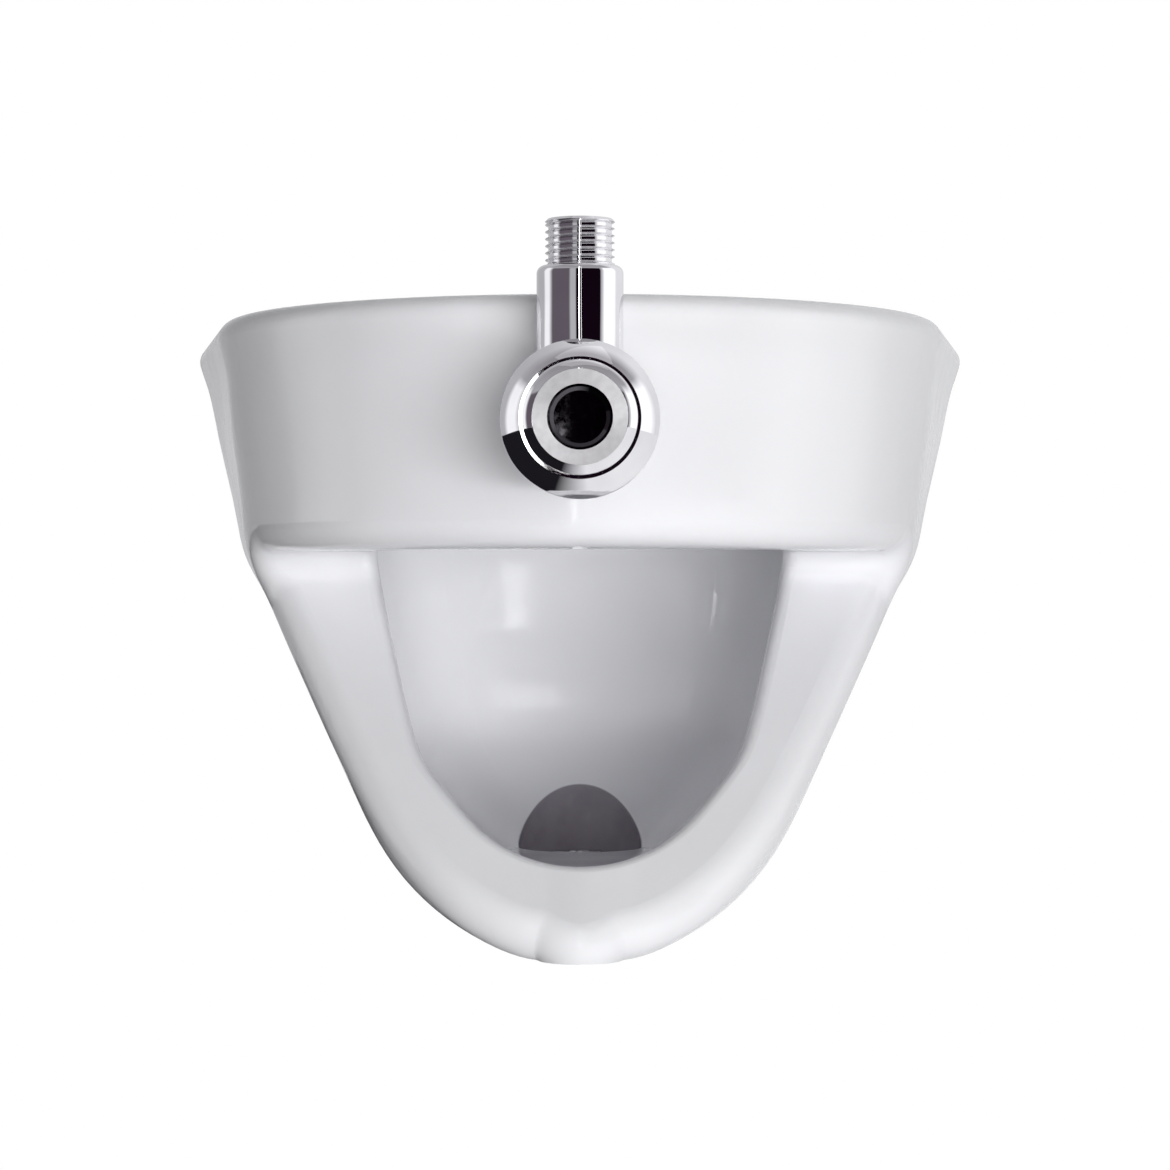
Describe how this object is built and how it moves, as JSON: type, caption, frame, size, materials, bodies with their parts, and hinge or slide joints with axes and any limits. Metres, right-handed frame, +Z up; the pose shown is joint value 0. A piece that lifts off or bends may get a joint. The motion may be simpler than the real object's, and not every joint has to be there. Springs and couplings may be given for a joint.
{
  "type": "wall hung urinal",
  "caption": "Wall hung white china urinal bowl with a deep apron and leaning rim, a sump with strainer and waste, and a chrome push button flush valve with a threaded top inlet.",
  "frame": {"origin": "midway between the two hanger screw holes, on the wall face", "axes": "+Z up, +Y into the wall, -Y towards the user, +X to the right of someone facing the urinal"},
  "size_m": [0.3558, 0.3406, 0.303],
  "materials": {
    "china": "white vitreous glaze, gloss",
    "chrome": "polished chrome plate on brass",
    "insert": "satin chrome plate",
    "brass": "bare turned brass",
    "steel": "zinc plated or stainless steel",
    "rubber": "black rubber",
    "plastic": "white moulded plastic"
  },
  "bodies": {
    "urinal": {"china_bowl": "china", "hanger_left": "steel", "hanger_right": "steel", "valve_body": "chrome", "inlet_filter": "steel", "escutcheon_gasket": "rubber", "escutcheon": "chrome", "inlet_cuff": "rubber", "bonnet": "chrome", "bonnet_seal": "rubber", "stem_seal": "rubber", "cartridge_sleeve": "plastic", "seat_ring": "brass", "return_spring": "steel", "waste_body": "chrome", "strainer": "steel", "strainer_screw": "steel", "upper_gasket": "rubber", "lower_gasket": "rubber", "slip_washer": "plastic", "locknut": "brass"},
    "button": {"push_button": "chrome", "button_insert": "insert", "stem": "brass", "disc_washer": "rubber", "valve_disc": "brass", "disc_nut": "brass"}
  },
  "joints": [
    {"name": "button_press", "type": "slide", "parent": "urinal", "child": "button", "axis": [0, 1, 0], "range_m": [0, 0.005], "stiffness_N_per_m": 1500, "springref_m": -0.004, "deforming": ["return_spring"]}
  ]
}
